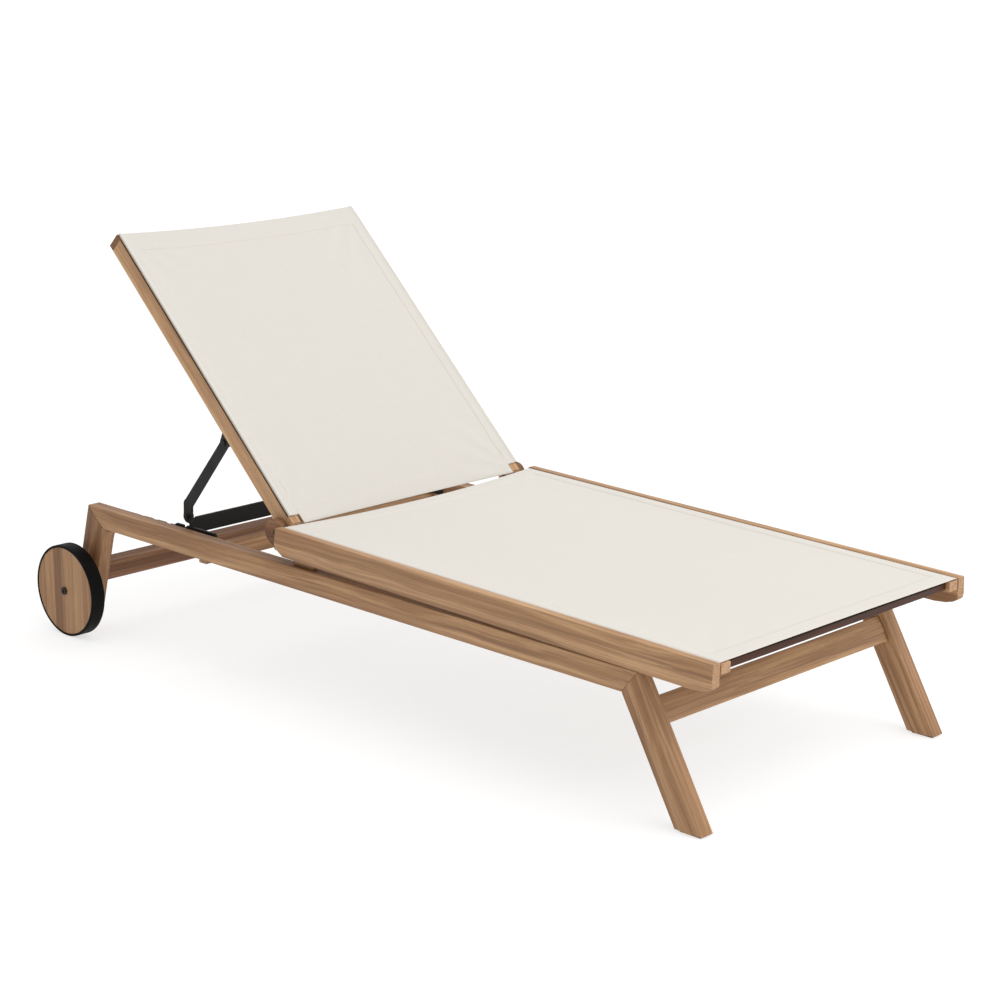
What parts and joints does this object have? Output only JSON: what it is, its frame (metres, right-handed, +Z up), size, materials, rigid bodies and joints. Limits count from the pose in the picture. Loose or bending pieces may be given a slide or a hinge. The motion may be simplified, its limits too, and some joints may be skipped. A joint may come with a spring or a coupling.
{
  "type": "reclining sun lounger",
  "caption": "Reclining wooden sun lounger with stretched cloth seat and backrest, folding steel prop on a notched rack, splayed front legs and wheels at the head end.",
  "frame": {"origin": "centre of the footprint on the floor", "axes": "+Z up, +Y toward the head end, X across the lounger"},
  "size_m": [0.8584, 1.8738, 0.8859],
  "materials": {
    "frame_wood": "oiled, fine straight grain",
    "wheel_wood": "oiled, laminated strips",
    "sling_cloth": "matte woven mesh",
    "tyre_rubber": "smooth",
    "glide_plastic": "matte",
    "black_steel": "matte powder coat",
    "steel_hardware": "satin"
  },
  "bodies": {
    "frame": {"axle_caps": "black_steel", "axle_spacer_left": "black_steel", "axle_spacer_right": "black_steel", "base_rail_left": "frame_wood", "base_rail_right": "frame_wood", "frame_packers": "frame_wood", "front_leg_left": "frame_wood", "front_leg_right": "frame_wood", "front_stretcher": "frame_wood", "hinge_arm_left": "frame_wood", "hinge_arm_packers": "frame_wood", "hinge_arm_right": "frame_wood", "hinge_pin_left": "steel_hardware", "hinge_pin_right": "steel_hardware", "hinge_washers": "black_steel", "leg_glide_left": "glide_plastic", "leg_glide_right": "glide_plastic", "mid_stretcher": "frame_wood", "prop_rack_left": "black_steel", "prop_rack_right": "black_steel", "rack_screws": "steel_hardware", "rear_leg_left": "frame_wood", "rear_leg_right": "frame_wood", "rear_stretcher": "frame_wood", "seat_batten_left": "frame_wood", "seat_batten_right": "frame_wood", "seat_front_bar": "frame_wood", "seat_mid_bar": "frame_wood", "seat_packers": "frame_wood", "seat_rail_left": "frame_wood", "seat_rail_right": "frame_wood", "seat_rear_bar": "frame_wood", "seat_sling": "sling_cloth", "wheel_axle_left": "steel_hardware", "wheel_axle_right": "steel_hardware"},
    "backrest": {"back_end_caps": "frame_wood", "back_lower_rail": "frame_wood", "back_mid_rail": "frame_wood", "back_rail_left": "frame_wood", "back_rail_right": "frame_wood", "back_sling": "sling_cloth", "back_splines": "glide_plastic", "back_top_rail": "frame_wood", "clevis_pin_left": "black_steel", "clevis_pin_right": "black_steel", "prop_clevis_left": "black_steel", "prop_clevis_right": "black_steel"},
    "prop": {"prop_crossbar": "black_steel", "prop_foot_pin_left": "black_steel", "prop_foot_pin_right": "black_steel", "prop_strut_left": "black_steel", "prop_strut_right": "black_steel"},
    "wheel_left": {"wheel_disc_left": "wheel_wood", "wheel_tyre_left": "tyre_rubber"},
    "wheel_right": {"wheel_disc_right": "wheel_wood", "wheel_tyre_right": "tyre_rubber"}
  },
  "joints": [
    {"name": "backrest_recline", "type": "hinge", "parent": "frame", "child": "backrest", "pos_m": [0, 0.20815, 0.336], "axis": [1, 0, 0], "range_deg": [-44, 15]},
    {"name": "prop_fold", "type": "hinge", "parent": "backrest", "child": "prop", "pos_m": [0, 0.39525, 0.48663], "axis": [1, 0, 0], "range_deg": [-33, 95]},
    {"name": "wheel_left_spin", "type": "hinge", "parent": "frame", "child": "wheel_left", "pos_m": [0, 0.83515, 0.1017], "axis": [1, 0, 0], "continuous": true},
    {"name": "wheel_right_spin", "type": "hinge", "parent": "frame", "child": "wheel_right", "pos_m": [0, 0.83515, 0.1017], "axis": [1, 0, 0], "continuous": true}
  ],
  "couplings": [
    {"joint": "prop_fold", "follows": "backrest_recline", "ratio": -2.15}
  ]
}
